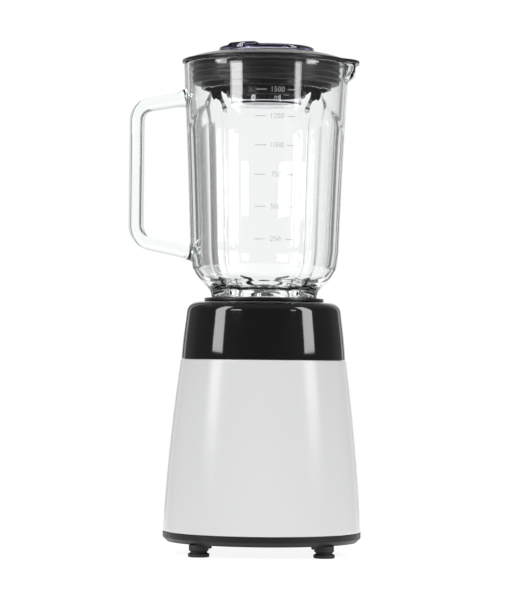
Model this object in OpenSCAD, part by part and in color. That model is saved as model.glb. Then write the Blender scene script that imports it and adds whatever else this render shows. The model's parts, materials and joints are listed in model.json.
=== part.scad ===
// Countertop blender with a glass jar. Millimetres, +Z up.
// Origin: on the table, below the motor and blade axis.
// -Y is the front with the speed knob, +X is the handle side, -X is the spout side.

/* [Body] */
// Outer radius at the bottom of the white shell
body_bottom_r = 81.6; // [78:0.1:84]
// Outer radius at the top of the white shell
body_top_r = 68.1; // [67:0.1:70]
// Height of the seam between the shell and the collar
seam_z = 159.3; // [156:0.1:162]
// Outward bulge of the shell's side, measured from a straight cone
body_bulge = 1.4; // [0.5:0.1:2]
// Wall thickness of the shell, the collar and the bottom cover
wall = 2.6; // [2:0.1:3]
// Height of the suction feet
foot_h = 10; // [9:0.5:12]
// Sideways distance of each foot from the axis
foot_xy = 50.5; // [48:0.5:52]

/* [Collar] */
// Height of the collar's top face
collar_top_z = 206.5; // [205:0.1:206.6]
// Radius of the jar seat
seat_r = 46.5; // [46.3:0.1:47.5]
// Height of the jar seat's floor
seat_z = 180; // [179:0.5:180]

/* [Jar] */
// Outer radius of the jar's neck
neck_r = 40; // [39:0.1:40]
// Outer radius of the jar at its rim
rim_r = 68; // [66:0.5:70]
// Height of the jar's rim
rim_z = 403.3; // [400:0.1:403.3]
// Glass thickness
glass_t = 4.8; // [4:0.1:5]
// Middle of the handle's upright bar, from the axis
handle_x = 106.2; // [104:0.1:108]
// Thickness of the handle bar
handle_t = 12.6; // [11:0.1:14]
// Width of the handle bar from side to side
handle_w = 17; // [15:0.5:19]

/* [Lid and cup] */
// Radius of the lid's flat edge
lid_r = 69.5; // [69:0.1:71]
// Radius of the hole in the lid
lid_hole_r = 30.5; // [30.2:0.1:31]
// Outer radius of the measuring cup
cup_r = 29.7; // [29:0.1:29.9]
// Radius of the measuring cup's flange
cup_flange_r = 39.2; // [38:0.1:39.4]

/* [Knob] */
// Height of the speed knob's axis
knob_z = 72; // [66:1:78]
// Radius of the speed knob
knob_r = 19; // [16:0.5:20]

/* [Motor] */
// Radius of the motor shaft and of the blade shaft
shaft_r = 4; // [3.5:0.1:4]
// Radius of the armature core
rotor_r = 20; // [18:0.5:20]
// Height of the bottom of the steel stack
stack_z = 92; // [90:1:94]
// Height of the steel stack
stack_h = 34; // [30:1:34]

/* [Blades] */
// Distance from the axis to a blade's tip
blade_reach = 24; // [22:0.5:27]
// Angle of the upper blade pair, seen from above
blade_turn = 45; // [0:5:90]

/* [Hidden] */
$fn = 96;

gap = 0.3;                  // between neighbours that part from each other
fit = 0.05;                 // radial clearance of a running fit
quarters = [0, 90, 180, 270];
shell_z = 18.4;             // bottom of the white shell
cover_t = 3;                // plate thickness of the bottom cover
cover_z = foot_h + cover_t; // top of that plate
screw_ring_r = 66;          // circle of the cover screws
collar_screw_r = 57.5;      // circle of the collar screws
mount_ring_r = 42;          // circle of the motor mounts
stack_top = stack_z + stack_h;
upper_plate_z = 146;        // underside of the upper bracket
lower_plate_z = 58;         // underside of the lower bracket
plate_t = 3;
bolt_x = 31;                // motor bolts
bolt_y = 22;
stack_x = 36;               // half sizes of the steel stack
stack_y = 35;
switch_y = -46;             // back of the rotary switch
switch_front_y = -66;
knob_face_y = -81.2;        // back of the knob
knob_front = 97;            // distance of the knob's front face from the axis
ring_top_z = 210;           // top of the jar's base ring
carrier_z = 185.3;          // underside of the blade carrier
blade_z = 219.8;            // underside of the upper blade
rim_gap_z = rim_z + gap;    // underside of the lid's edge
lid_top_z = 412.4;

function unit(v) = v / norm(v);
function flat(p) = [p.x, p.y];

// Points of a circular arc from a to b that bulges by s to the right of its direction.
function bulge(a, b, s, n) =
  let (d = b - a, half_l = norm(d) / 2, r = (half_l * half_l + s * s) / (2 * s),
       side = [d.y, -d.x] / norm(d), c = (a + b) / 2 - side * (r - s), h = asin(half_l / r))
  [for (i = [0:n]) let (t = -h + 2 * h * i / n) c + r * (side * cos(t) + unit(d) * sin(t))];

// One corner q of an outline, rounded to radius r; p and s are its neighbours.
function corner(p, q, s, r, n) =
  let (u = unit(p - q), v = unit(s - q), half = acos(u * v) / 2,
       c = q + unit(u + v) * r / sin(half), from = q + u * r / tan(half) - c,
       to = q + v * r / tan(half) - c, a0 = atan2(from.y, from.x),
       turn = (atan2(to.y, to.x) - a0 + 540) % 360 - 180)
  [for (i = [0:n]) c + r * [cos(a0 + turn * i / n), sin(a0 + turn * i / n)]];

// A closed outline from points [x, y, radius], with the radius left out at a sharp corner.
function rounded(pts, n = 6) =
  let (k = len(pts))
  [for (i = [0:k - 1])
    each (is_undef(pts[i][2]) ? [flat(pts[i])]
      : corner(flat(pts[(i + k - 1) % k]), flat(pts[i]), flat(pts[(i + 1) % k]), pts[i][2], n))];

function reversed(list) = [for (i = [len(list) - 1:-1:0]) list[i]];
function shifted(list, d) = [for (p = list) p + d];

module tube(r_out, r_in, z0, z1) {
  translate([0, 0, z0])
    difference() {
      cylinder(r = r_out, h = z1 - z0);
      translate([0, 0, -1]) cylinder(r = r_in, h = z1 - z0 + 2);
    }
}

module rod(r, z0, z1) {
  translate([0, 0, z0]) cylinder(r = r, h = z1 - z0);
}

module block(low, high) {
  translate(low) cube(high - low);
}

// Children repeated at four quarter turns, at radius r.
module on_quarters(r, start = 0) {
  for (a = quarters) rotate(a + start) translate([r, 0, 0]) children();
}

module at_bolts() {
  for (x = [-bolt_x, bolt_x], y = [-bolt_y, bolt_y]) translate([x, y, 0]) children();
}

// A screw along +Z with a round head below z0 and a cross recess in it.
module screw(head_r, head_h, shank_r, z0, z1) {
  difference() {
    union() {
      rod(head_r, z0 - head_h, z0);
      rod(shank_r, z0 - 0.01, z1);
    }
    for (a = [0, 90])
      translate([0, 0, z0 - head_h]) rotate(a) cube([head_r * 1.3, 0.9, 2.4], center = true);
  }
}

// ---- Base ----

// Outer line of the white shell, from its bottom edge to the seam.
function shell_line(out = 0) =
  shifted(bulge([body_bottom_r, shell_z], [body_top_r, seam_z], body_bulge, 12), [out, 0]);

module shell_body(out) {
  rotate_extrude()
    polygon(concat([[0, shell_z]], shell_line(out), [[0, seam_z]]));
}

module base_shell() {
  boss_r = 4.5;
  tab_z = 149.5;
  tab_t = 3;
  color("whitesmoke")
    difference() {
      union() {
        rotate_extrude()
          polygon(concat(shell_line(), reversed(shell_line(-wall))));
        on_quarters(screw_ring_r) rod(boss_r, cover_z + gap, 44);
        intersection() {
          shell_body(-wall / 2);
          union() {
            on_quarters(0) block([screw_ring_r + 3, -1.25, 24], [body_bottom_r, 1.25, 44]);
            on_quarters(0, 45)
              block([collar_screw_r - 5, -6, tab_z], [body_top_r, 6, tab_z + tab_t]);
          }
        }
      }
      on_quarters(screw_ring_r) rod(1.6, cover_z, 40);
      on_quarters(collar_screw_r, 45) rod(1.8, tab_z - 1, tab_z + tab_t + 1);
      translate([0, -60, knob_z]) rotate([90, 0, 0]) cylinder(r = 18, h = 40);
    }
}

module collar() {
  skirt_z = 153.2;
  floor_t = 3;
  key_w = 8;
  shoulder_r = 62.7;
  color("#222326")
    difference() {
      union() {
        rotate_extrude()
          polygon(concat(
            [[body_top_r - wall - 3, skirt_z], [body_top_r - wall - 0.5, skirt_z],
             [body_top_r - wall - 0.5, seam_z + 1]],
            bulge([body_top_r - 0.6, seam_z + 1], [shoulder_r + 1.3, 194], 0.35, 6),
            corner([64, 194], [shoulder_r, collar_top_z], [50, collar_top_z], 8.5, 8),
            corner([60, collar_top_z], [seat_r, collar_top_z], [seat_r, 190], 2, 5),
            [[seat_r, seat_z], [0, seat_z], [0, seat_z - floor_t],
             [seat_r + wall, seat_z - floor_t], [seat_r + wall, 198], [57, 200],
             [60.2, 194], [body_top_r - wall - 3, seam_z]]));
        tube(20.5, 18.5, seat_z - 1, seat_z + 4);
        on_quarters(0, 45)
          block([seat_r - 3.5, -key_w / 2, seat_z - 1], [seat_r + 1, key_w / 2, seat_z + 8]);
        on_quarters(mount_ring_r) rod(5.5, 165, seat_z - 1);
        on_quarters(collar_screw_r, 45) rod(4, skirt_z, seat_z);
        on_quarters(0, 45)
          block([seat_r + 1, -1.25, 170], [collar_screw_r, 1.25, 190]);
      }
      on_quarters(mount_ring_r) rod(1.7, 164, 176);
      on_quarters(collar_screw_r, 45) rod(1.6, skirt_z - 1, 172);
      rod(9, seat_z - floor_t - 1, seat_z + 1);
    }
}

module collar_screws() {
  color("silver")
    on_quarters(collar_screw_r, 45) screw(3.2, 2.2, 1.5, 149.4, 168);
}

module bottom_cover() {
  slot_w = 3;
  color("#1b1b1d")
    difference() {
      union() {
        rotate_extrude()
          polygon([[0, foot_h], [body_bottom_r - 3.6, foot_h], [body_bottom_r, foot_h + 3.6],
                   [body_bottom_r, shell_z - gap], [body_bottom_r - 2.9, shell_z - gap],
                   [body_bottom_r - 3.1, shell_z + 4], [body_bottom_r - 5.2, shell_z + 4],
                   [body_bottom_r - 5.2, cover_z], [0, cover_z]]);
        for (x = [-12.5, 12.5]) translate([x, 52, 0]) rod(3.2, cover_z - 1, cover_z + 5);
      }
      on_quarters(screw_ring_r) rod(1.8, foot_h - 1, cover_z + 1);
      on_quarters(screw_ring_r) rod(3.6, foot_h - 1, foot_h + 1.4);
      for (x = [-foot_xy, foot_xy], y = [-foot_xy, foot_xy])
        translate([x, y, 0]) rod(4.2, foot_h - 1, cover_z + 1);
      translate([0, 52, 0]) rod(5.5, foot_h - 1, cover_z + 1);
      for (x = [-12.5, 12.5]) translate([x, 52, 0]) rod(1.3, cover_z + 0.5, cover_z + 6);
      for (i = [-4:4])
        let (half = sqrt(34 * 34 - 49 * i * i))
        block([7 * i - slot_w / 2, -half, foot_h - 1], [7 * i + slot_w / 2, half, cover_z + 1]);
      for (side = [0, 180], i = [-3:3])
        rotate(side + i * 7)
          block([46, -slot_w / 2, foot_h - 1], [60, slot_w / 2, cover_z + 1]);
    }
}

module suction_feet() {
  color("#2a2a2c")
    for (x = [-foot_xy, foot_xy], y = [-foot_xy, foot_xy])
      translate([x, y, 0])
        rotate_extrude()
          polygon([[0, 1.2], [6.2, 0], [8, 0], [8.75, 0.8], [8.75, 2.9], [6.6, 3.7], [6.6, 4.6],
                   [8, 5.4], [8, foot_h - 0.1], [4.1, foot_h - 0.1], [4.1, cover_z + 0.1],
                   [4.8, cover_z + 0.1], [4.2, cover_z + 2.6], [0, cover_z + 2.6]]);
}

module cover_screws() {
  color("silver")
    on_quarters(screw_ring_r) screw(3.2, 1.3, 1.5, foot_h + 1.35, 34);
}

module cord_inlet() {
  color("#1b1b1d")
    translate([0, 52, 0])
      difference() {
        union() {
          rod(7, foot_h - 1.2, foot_h - 0.1);
          rod(5.4, foot_h - 0.2, cover_z + 0.2);
          rod(7, cover_z + 0.1, cover_z + 1.4);
        }
        rod(3.5, foot_h - 2, cover_z + 2);
      }
}

module cord_clamp() {
  color("dimgray")
    translate([0, 52, 0]) {
      difference() {
        block([-17, -4, cover_z + 5.1], [17, 4, cover_z + 8]);
        rod(3.6, cover_z + 4, cover_z + 9);
        for (x = [-12.5, 12.5]) translate([x, 0, 0]) rod(1.5, cover_z + 4, cover_z + 9);
      }
      for (x = [-12.5, 12.5])
        translate([x, 0, cover_z + 1.2]) {
          cylinder(r = 1.2, h = 7.2);
          translate([0, 0, 6.9]) cylinder(r = 2.6, h = 1.8);
        }
    }
}

// ---- Speed switch and knob ----

module along_knob() {
  translate([0, 0, knob_z]) rotate([90, 0, 0]) children();
}

module knob_bezel() {
  color("gainsboro")
    difference() {
      along_knob() rod(25, 70, -knob_face_y - 0.5);
      shell_body(0.06);
      along_knob() rod(17, 60, 90);
    }
}

module switch_bracket() {
  plate_y = switch_front_y - 2.2;
  color("silver")
    difference() {
      union() {
        block([-22, plate_y, knob_z - 12], [22, plate_y + 2, knob_z + 12]);
        for (side = [0, 1])
          mirror([side, 0, 0]) {
            block([16, plate_y, cover_z + 0.1], [22, plate_y + 2, knob_z - 10]);
            block([12, plate_y, cover_z + 0.1], [22, plate_y + 9, cover_z + 2]);
          }
      }
      along_knob() rod(6.4, -plate_y - 4, -plate_y + 2);
    }
}

module rotary_switch() {
  color("darkslategray")
    difference() {
      union() {
        block([-12, switch_front_y, knob_z - 14], [12, switch_y, knob_z + 14]);
        along_knob() rod(6.2, -switch_front_y - 1, -switch_front_y + 5);
        for (x = [-8, 8])
          block([x - 2.4, switch_y - 6, knob_z + 13], [x + 2.4, switch_y - 5.2, knob_z + 21]);
        block([-2.4, switch_y - 6, knob_z - 21], [2.4, switch_y - 5.2, knob_z - 13]);
      }
      along_knob() rod(3.1, -switch_y + 4, -switch_front_y + 6);
    }
}

// One wire: straight runs through the points, with a ball at each bend.
module wire(points, r = 1) {
  for (i = [0:len(points) - 2])
    let (d = points[i + 1] - points[i])
    translate(points[i])
      rotate([0, acos(d.z / norm(d)), atan2(d.y, d.x)])
        cylinder(r = r, h = norm(d), $fn = 24);
  for (i = [1:len(points) - 2])
    translate(points[i]) sphere(r = r + 0.08, $fn = 24);
}

module switch_leads() {
  top = knob_z + 22;
  y = switch_y - 5.6;
  color("firebrick") {
    for (side = [-1, 1])
      wire([[8 * side, y, top], [8 * side, y, top + 10], [52 * side, y + 10, top + 4],
            [56 * side, 0, 88], [46.6 * side, 0, 78.6]]);
    wire([[0, y, knob_z - 22], [0, y, 40], [-52, y + 20, 30], [-56, 20, 24], [-20, 56, 26],
          [0, 52, cover_z + 9]]);
  }
}

module knob() {
  color("#2a2b2e")
    along_knob()
      difference() {
        union() {
          translate([0, 0, -knob_face_y])
            rotate_extrude()
              polygon(rounded([[0, 0], [knob_r, 0], [knob_r, 4.6, 1.2], [14.5, 6, 1.5],
                               [13.5, 8.5], [0, 8.5]]));
          intersection() {
            rod(knob_r - 1, -knob_face_y, knob_front);
            block([-4.6, -knob_r, -knob_face_y + 2], [4.6, knob_r, knob_front]);
          }
          rod(16.6, -knob_face_y - 3, -knob_face_y + 0.5);
        }
        rod(3, -knob_face_y - 4, -knob_face_y + 8);
        block([-0.8, 8, knob_front - 1.2], [0.8, knob_r + 1, knob_front + 1]);
      }
}

module knob_pointer() {
  color("white")
    along_knob() block([-0.7, 8.1, knob_front - 1.1], [0.7, knob_r - 1.3, knob_front]);
}

module switch_shaft() {
  color("white")
    along_knob()
      difference() {
        rod(3 - fit, -switch_y + 6, -knob_face_y + 7.8);
        block([1.8, -4, -knob_face_y - 1], [4, 4, -knob_face_y + 9]);
      }
}

// ---- Motor ----

module field_core() {
  color("slategray")
    translate([0, 0, stack_z])
      linear_extrude(stack_h)
        difference() {
          polygon(rounded([[-stack_x, -stack_y, 5], [stack_x, -stack_y, 5],
                           [stack_x, stack_y, 5], [-stack_x, stack_y, 5]], 4));
          circle(r = rotor_r + 0.6);
          for (x = [-1, 1], y = [-1, 1])
            translate([x * 23.5, y * 17]) square([8, 16], center = true);
          for (x = [-bolt_x, bolt_x], y = [-bolt_y, bolt_y])
            translate([x, y]) circle(r = 2.2);
        }
}

module field_coils() {
  color("peru")
    for (side = [-1, 1])
      translate([0, side * 20.8, stack_z + stack_h / 2])
        difference() {
          cube([53, 7, stack_h + 14], center = true);
          cube([41, 8, stack_h + 0.4], center = true);
        }
}

module bracket_posts(z0, z1) {
  at_bolts() rod(4.4, z0, z1);
}

module upper_bracket() {
  color("lightsteelblue")
    difference() {
      union() {
        block([-stack_x, -27, upper_plate_z], [stack_x, 27, upper_plate_z + plate_t]);
        block([-9, -mount_ring_r - 7, upper_plate_z],
              [9, mount_ring_r + 7, upper_plate_z + plate_t]);
        block([-mount_ring_r - 7, -9, upper_plate_z],
              [mount_ring_r + 7, 9, upper_plate_z + plate_t]);
        rod(11, upper_plate_z - 3, upper_plate_z + 11);
        bracket_posts(stack_top + 0.1, upper_plate_z + 1);
      }
      rod(8, upper_plate_z, upper_plate_z + 12);
      rod(6, upper_plate_z - 4, upper_plate_z + 1);
      at_bolts() rod(2.2, stack_top, upper_plate_z + plate_t + 1);
      on_quarters(mount_ring_r) rod(2.2, upper_plate_z - 1, upper_plate_z + plate_t + 1);
    }
}

module lower_bracket() {
  color("lightsteelblue")
    difference() {
      union() {
        block([-stack_x, -27, lower_plate_z], [stack_x, 27, lower_plate_z + plate_t]);
        block([-48, -8, lower_plate_z], [48, 8, lower_plate_z + plate_t]);
        rod(11, lower_plate_z - 6, lower_plate_z + plate_t + 2);
        bracket_posts(lower_plate_z, stack_z - 0.1);
      }
      rod(8, lower_plate_z - 7, lower_plate_z + plate_t);
      rod(6, lower_plate_z, lower_plate_z + 6);
      at_bolts() rod(2.2, lower_plate_z - 1, stack_z);
    }
}

module upper_bearing() {
  color("goldenrod") tube(7.95, shaft_r + fit, upper_plate_z + 1.1, upper_plate_z + 11);
}

module lower_bearing() {
  color("goldenrod") tube(7.95, shaft_r + fit, lower_plate_z - 6, lower_plate_z + 2.9);
}

module motor_through_bolts() {
  color("silver") at_bolts() screw(3.8, 2.6, 2, lower_plate_z - 0.1, upper_plate_z + 6);
}

module motor_dampers() {
  color("#2a2a2c")
    on_quarters(mount_ring_r)
      translate([0, 0, upper_plate_z + plate_t + 0.1])
        rotate_extrude()
          polygon(rounded([[2.3, 0], [7, 0], [7, 5], [5.4, 7.8, 1.5], [7, 10.6], [7, 15.7],
                           [2.3, 15.7]], 4));
}

module motor_mount_screws() {
  color("silver") on_quarters(mount_ring_r) screw(4.2, 2.8, 1.6, upper_plate_z - 0.1, 174);
}

module brush_holders() {
  color("darkgoldenrod")
    for (side = [0, 180])
      rotate(side)
        difference() {
          union() {
            block([14.5, -5, 69], [44, 5, 79]);
            block([20, -4, lower_plate_z + plate_t + 0.1], [26, 4, 69.5]);
            block([44, -1.5, 76], [46, 1.5, 77]);
          }
          block([14, -3.2, 70.8], [42.5, 3.2, 77.2]);
        }
}

module carbon_brushes() {
  color("#303030")
    for (side = [0, 180])
      rotate(side)
        difference() {
          block([11, -3.1, 70.9], [28, 3.1, 77.1]);
          rod(13 + gap, 70, 78);
        }
}

module brush_springs() {
  // Each spring is a stack of separate rings that stand for its turns.
  turns = 6;
  color("silver")
    for (side = [0, 180], i = [0:turns - 1])
      rotate(side)
        translate([29.3 + i * 2.3, 0, 74]) rotate([0, 90, 0])
          rotate_extrude($fn = 32) translate([2.4, 0]) circle(r = 0.4, $fn = 16);
}

module air_duct() {
  color("dimgray")
    difference() {
      union() {
        tube(40.5, 38.5, cover_z + 0.1, 54);
        tube(44, 38.5, cover_z + 0.1, cover_z + 1.8);
      }
      for (a = [0:45:315])
        rotate(a) block([37, -7, 22], [42, 7, 30]);
    }
}

module water_seal() {
  color("#2a2a2c")
    rotate_extrude()
      polygon([[shaft_r + 0.3, seat_z - 4.5], [8.8, seat_z - 4.5], [8.8, seat_z + 0.1],
               [11, seat_z + 0.1], [10.4, seat_z + 1.4], [shaft_r + 0.3, seat_z + 1.4]]);
}

module motor_shaft() {
  color("silver")
    union() {
      rod(shaft_r, 36, 189.5);
      translate([0, 0, 34.8]) cylinder(r1 = shaft_r - 1, r2 = shaft_r, h = 1.21);
    }
}

module armature_core() {
  color("lightslategray")
    translate([0, 0, stack_z])
      linear_extrude(stack_h)
        difference() {
          circle(r = rotor_r);
          circle(r = shaft_r + 0.02);
          for (a = [0:30:330]) rotate(a) translate([rotor_r - 4.5, 0]) {
            circle(r = 2.8, $fn = 24);
            translate([0, -0.9]) square([6, 1.8]);
          }
        }
}

module armature_windings() {
  color("chocolate") {
    for (z = [stack_z - 8, stack_top + 0.1])
      translate([0, 0, z])
        rotate_extrude()
          polygon(rounded([[shaft_r + 3, 0], [15.5, 0, 2], [16.5, 7.9], [shaft_r + 3, 7.9]], 4));
    for (a = [0:30:330])
      rotate(a) translate([rotor_r - 4.5, 0, stack_z + 0.1])
        cylinder(r = 2.6, h = stack_h - 0.1, $fn = 24);
  }
}

module commutator() {
  color("orange")
    difference() {
      tube(13, shaft_r + 0.02, 66, 83.5);
      for (a = [0:15:345]) rotate(a) block([12, -0.3, 65], [14, 0.3, 81.5]);
    }
}

module cooling_fan() {
  blades = 12;
  color("white") {
    tube(8, shaft_r + 0.02, 37, 50);
    tube(35, 7.9, 48, 50);
    for (i = [0:blades - 1])
      rotate(i * 360 / blades)
        difference() {
          translate([9, -0.8, 38]) rotate([0, 0, 12]) cube([25, 1.6, 10.2]);
          translate([0, 0, 37]) tube(60, 34.5, 0, 12);
        }
  }
}

// A six-lobed outline, as on both halves of the drive coupling.
module lobes(hub, reach, width) {
  circle(r = hub);
  for (a = [0:60:300]) rotate(a) translate([0, -width / 2]) square([reach, width]);
}

module drive_coupling() {
  color("#333336")
    difference() {
      union() {
        rod(11, 182.4, 184.2);
        translate([0, 0, 182.4]) linear_extrude(8.6) lobes(8, 12.6, 4);
      }
      rod(shaft_r + 0.02, 182, 189.6);
    }
}

// ---- Jar and blade unit ----

// Outer line of the glass, from the neck's foot to the rim.
function glass_line(t = 0) =
  concat(
    [[neck_r - (t > 0 ? 7 : 0), 189.8], [neck_r - (t > 0 ? 7 : 0), ring_top_z + 0.1 - t / 2]],
    bulge([46 - t * 0.8, 215.2 + t * 0.6], [59.6 - t, 234.8 + t * 0.25], 2.3, 5),
    bulge([61.5 - t, 248.2], [rim_r - t, 384], -0.35, 8),
    [[rim_r - t, rim_z]]);

module glass_jar() {
  color([0.85, 0.93, 0.9, 0.45])
    difference() {
      union() {
        rotate_extrude() polygon(concat([[0, 189.8]], glass_line(), [[0, rim_z]]));
        jar_spout(0);
        jar_handle();
      }
      rotate_extrude() polygon(concat([[0, 189]], [[neck_r - 7, 189]], glass_line(glass_t),
        [[rim_r - glass_t, rim_z + 1], [0, rim_z + 1]]));
      jar_spout(3.6);
    }
}

// The pouring beak: a cone that leans out of the rim, or its hollow when t is above 0.
module jar_spout(t) {
  translate([-56.7, 0, 381])
    cylinder(r1 = 7 - min(t, 6), r2 = 18.4 - t, h = rim_z - 381 + (t > 0 ? 0.5 : 0));
}

// The handle's centre line in the XZ plane: joint, upper corner, lower corner, joint.
handle_points = [[60, 375.7], [handle_x, 368.2], [handle_x, 257.4], [57, 247]];
handle_bend = 15;

module handle_section(t) {
  side = (handle_w - handle_t) / 2;
  translate([0, side]) circle(d = t);
  translate([0, -side]) circle(d = t);
  square([t, 2 * side], center = true);
}

// A straight run of the section between two points of the XZ plane. It is a hair thinner
// than the bends and laps into them, so that they join.
module handle_run(a, b) {
  lap = 0.3;
  translate([a.x, 0, a.y])
    rotate([0, atan2(b.x - a.x, b.y - a.y), 0])
      translate([0, 0, -lap])
        linear_extrude(norm(b - a) + 2 * lap) handle_section(handle_t - 0.06);
}

// A bend of the section at point q, between its neighbours p and s.
module handle_elbow(p, q, s) {
  u = unit(p - q);
  v = unit(s - q);
  half = acos(u * v) / 2;
  c = q + unit(u + v) * handle_bend / sin(half);
  start = q + u * handle_bend / tan(half) - c;
  translate([c.x, 0, c.y])
    rotate([90, 0, 0])
      rotate(atan2(start.y, start.x) - (180 - 2 * half))
        rotate_extrude(angle = 180 - 2 * half)
          translate([handle_bend, 0]) handle_section(handle_t);
}

function bend_end(q, toward, other) =
  let (u = unit(toward - q), v = unit(other - q)) q + u * handle_bend / tan(acos(u * v) / 2);

module jar_handle() {
  p = handle_points;
  handle_run(p[0], bend_end(p[1], p[0], p[2]));
  handle_elbow(p[0], p[1], p[2]);
  handle_run(bend_end(p[1], p[2], p[0]), bend_end(p[2], p[1], p[3]));
  handle_elbow(p[1], p[2], p[3]);
  handle_run(bend_end(p[2], p[3], p[1]), p[3]);
}

module jar_base_ring() {
  color("#1b1b1d")
    difference() {
      rotate_extrude()
        polygon(rounded([[34, seat_z + gap], [45.9, seat_z + gap, 1], [45.9, 207.1],
                         [49.3, 207.1, 0.8], [49.3, ring_top_z, 0.8], [40.4, ring_top_z],
                         [40.4, carrier_z - 0.3], [34, carrier_z - 0.3]], 4));
      on_quarters(0, 45) block([41.2, -5, seat_z], [48, 5, seat_z + 9]);
    }
}

module blade_base() {
  color("silver")
    rotate_extrude()
      polygon(concat(
        [[7, 217], [7, 197.5], [18.5, 197.5], [22, 193.5], [26, carrier_z], [39.8, carrier_z],
         [39.8, 187], [32.4, 187]],
        bulge([32.4, 190], [12, 211], 3, 6), [[8.8, 212], [8.8, 217]]));
}

module jar_gasket() {
  color("lightgray") tube(39.6, 32.8, 187.1, 189.7);
}

module shaft_bushing() {
  color("goldenrod") tube(6.95, shaft_r + fit, 197.5, 215);
}

module shaft_seal() {
  color("#2a2a2c") tube(6.95, shaft_r + 0.1, 215.1, 217);
}

module blade_shaft() {
  color("silver")
    union() {
      rod(shaft_r, 191.8, blade_z + 1.6);
      rod(2.6, blade_z + 1.5, blade_z + 4.2);
    }
}

// One wing of a blade, flat, from the hub to a slanted tip.
module wing(w) {
  polygon([[-1, -w / 2], [blade_reach - 7, -w / 2], [blade_reach - 7 + 5, -w / 2 + 5],
           [blade_reach - 7, w / 2 - 1.5], [-1, w / 2]]);
}

module blade_pair(w, t, up) {
  difference() {
    union() {
      cylinder(r = w / 2 + 0.5, h = t);
      for (a = [0, 180])
        rotate(a) {
          block([0, -w / 2, 0], [8, w / 2, t]);
          translate([7.5, 0, 0]) rotate([0, -up, 0]) linear_extrude(t) wing(w - 0.3);
        }
    }
    translate([0, 0, -1]) cylinder(r = shaft_r + 0.02, h = t + 2);
  }
}

module upper_blade() {
  color("gainsboro")
    translate([0, 0, blade_z]) rotate(blade_turn) blade_pair(11, 1.5, 21);
}

module lower_blade() {
  color("gainsboro")
    translate([0, 0, blade_z - 1.7]) rotate(blade_turn - 90) blade_pair(10, 1.5, -8);
}

module blade_spacer() {
  color("silver") tube(5.6, shaft_r + 0.02, 217.3, blade_z - 1.8);
}

module blade_nut() {
  color("silver")
    difference() {
      union() {
        translate([0, 0, blade_z + 1.7]) cylinder(r = 5, h = 1.8, $fn = 6);
        rod(4.2, blade_z + 3.4, blade_z + 4);
      }
      rod(2.62, blade_z + 1, blade_z + 5);
    }
}

module driven_coupling() {
  color("#333336")
    difference() {
      union() {
        rod(17, 184.8, 195.2);
        rod(9, 195.1, 197.2);
      }
      translate([0, 0, 184]) linear_extrude(7.6) lobes(9, 13.3, 5.2);
      rod(shaft_r + 0.02, 191.5, 198);
    }
}

// ---- Lid and measuring cup ----

module lid() {
  edge_z = rim_gap_z + 2.8;
  plug_r = 53.6;
  sleeve_t = 2.2;
  color("#222326")
    difference() {
      union() {
        rotate_extrude()
          polygon(concat(
            [[plug_r - wall, 382], [plug_r, 382], [plug_r, rim_gap_z]],
            corner([plug_r, rim_gap_z], [lid_r, rim_gap_z], [lid_r, edge_z], 0.8, 3),
            corner([lid_r, rim_gap_z], [lid_r, edge_z], [60, edge_z], 1.2, 3),
            [[66.5, edge_z]],
            bulge([65.5, edge_z + 0.3], [cup_flange_r + 2, lid_top_z], 0.8, 5),
            [[0, lid_top_z], [0, lid_top_z - wall], [cup_flange_r, lid_top_z - wall],
             [plug_r - wall, rim_gap_z + 2]]));
        spout_cover(edge_z);
        rod(lid_hole_r + sleeve_t, 376, lid_top_z - 1);
      }
      rod(lid_hole_r, 375, lid_top_z + 1);
    }
}

// The lid's tongue over the pouring beak.
module spout_cover(edge_z) {
  tongue_end = -76.7;
  translate([0, 0, rim_gap_z])
    linear_extrude(edge_z - rim_gap_z)
      polygon(rounded([[-45, -50], [-62, -32, 14], [tongue_end, -9, 9], [tongue_end, 9, 9],
                       [-62, 32, 14], [-45, 50]], 8));
}

module lid_seal() {
  body_r = 59.2;
  rib_r = rim_r - glass_t - gap;
  color("#2f3033")
    rotate_extrude()
      polygon(concat([[53.8, 386], [body_r, 386]],
        [for (z = [388, 393, 398]) each [[body_r, z], [rib_r, z + 0.8], [rib_r, z + 1.8],
                                         [body_r, z + 3]]],
        [[body_r, rim_z - 0.2], [53.8, rim_z - 0.2]]));
}

module measuring_cup() {
  flange_z = lid_top_z + gap;
  flange_t = 4.4;
  bottom_z = 367;
  cup_wall = 1.8;
  color([0.7, 0.68, 0.74, 0.6])
    difference() {
      union() {
        rotate_extrude()
          polygon(concat(
            [[0, bottom_z]],
            bulge([10, bottom_z + 0.2], [cup_r - 2.2, bottom_z + 2], 0.4, 5),
            [[cup_r - 0.7, bottom_z + 3.2], [cup_r, flange_z]],
            corner([cup_r, flange_z], [cup_flange_r, flange_z], [cup_flange_r, 420], 1, 4),
            corner([cup_flange_r, flange_z], [cup_flange_r, flange_z + flange_t],
                   [0, flange_z + flange_t], 1.6, 5),
            [[0, flange_z + flange_t]]));
        intersection() {
          tube(cup_flange_r - 0.8, cup_r, flange_z + 1, flange_z + flange_t + 1.7);
          rotate(57) block([-60, -15, 400], [60, 15, 430]);
        }
      }
      rotate_extrude()
        polygon(concat(
          [[0, bottom_z + cup_wall]],
          bulge([10, bottom_z + cup_wall + 0.2], [cup_r - 3.8, bottom_z + cup_wall + 2], 0.4, 5),
          [[cup_r - 2.6, bottom_z + cup_wall + 3.2], [cup_r - cup_wall, flange_z],
           [cup_r - cup_wall + 0.8, flange_z + flange_t + 3],
           [0, flange_z + flange_t + 3]]));
    }
}

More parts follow.
